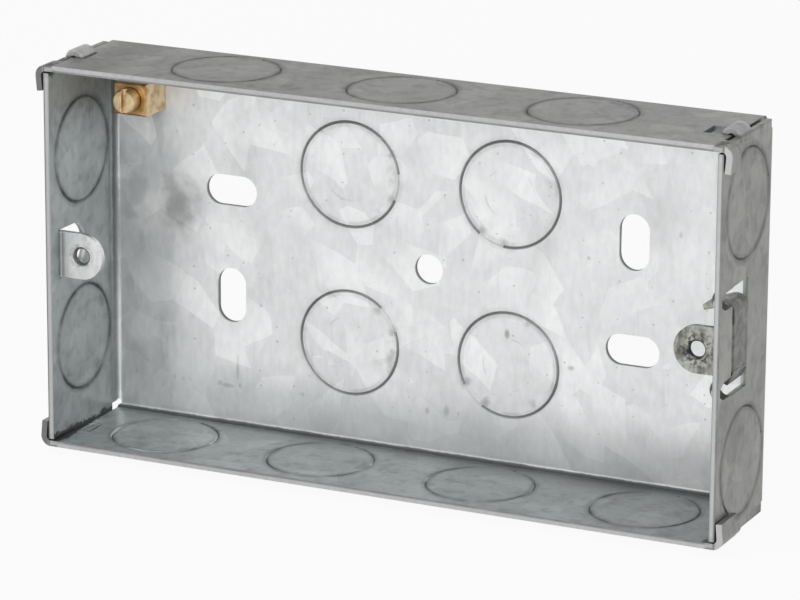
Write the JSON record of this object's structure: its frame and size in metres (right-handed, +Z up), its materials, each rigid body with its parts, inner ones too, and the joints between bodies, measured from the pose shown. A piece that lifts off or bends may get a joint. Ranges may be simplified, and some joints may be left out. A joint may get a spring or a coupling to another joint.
{
  "type": "flush back box",
  "caption": "Shallow folded steel back box with scored knockouts, slotted back, one fixed and one adjustable faceplate lug, and a brass earth terminal.",
  "frame": {"origin": "middle of the back's outer face, on the centre hole's axis", "axes": "+X along the box's width to the adjustable lug, +Y out of the back into the wall, +Z up; the open front is at -Y"},
  "size_m": [0.1346, 0.025, 0.0748],
  "materials": {
    "galvanised_sheet": "galvanised, dull spangle",
    "plated_lug": "plated, dull and yellowish",
    "brass_block": "sawn and drawn brass",
    "brass_screw": "turned brass"
  },
  "bodies": {
    "box": {"box_shell": "galvanised_sheet", "earth_terminal_block": "brass_block"},
    "lug": {"adjustable_lug": "plated_lug"},
    "terminal_screw": {"earth_terminal_screw": "brass_screw"}
  },
  "joints": [
    {"name": "lug_slide", "type": "slide", "parent": "box", "child": "lug", "axis": [0, 0, 1], "range_m": [-0.00015, 0.002]},
    {"name": "screw_travel", "type": "slide", "parent": "box", "child": "terminal_screw", "axis": [0, 1, 0], "range_m": [-0.002, 0.0015]}
  ]
}
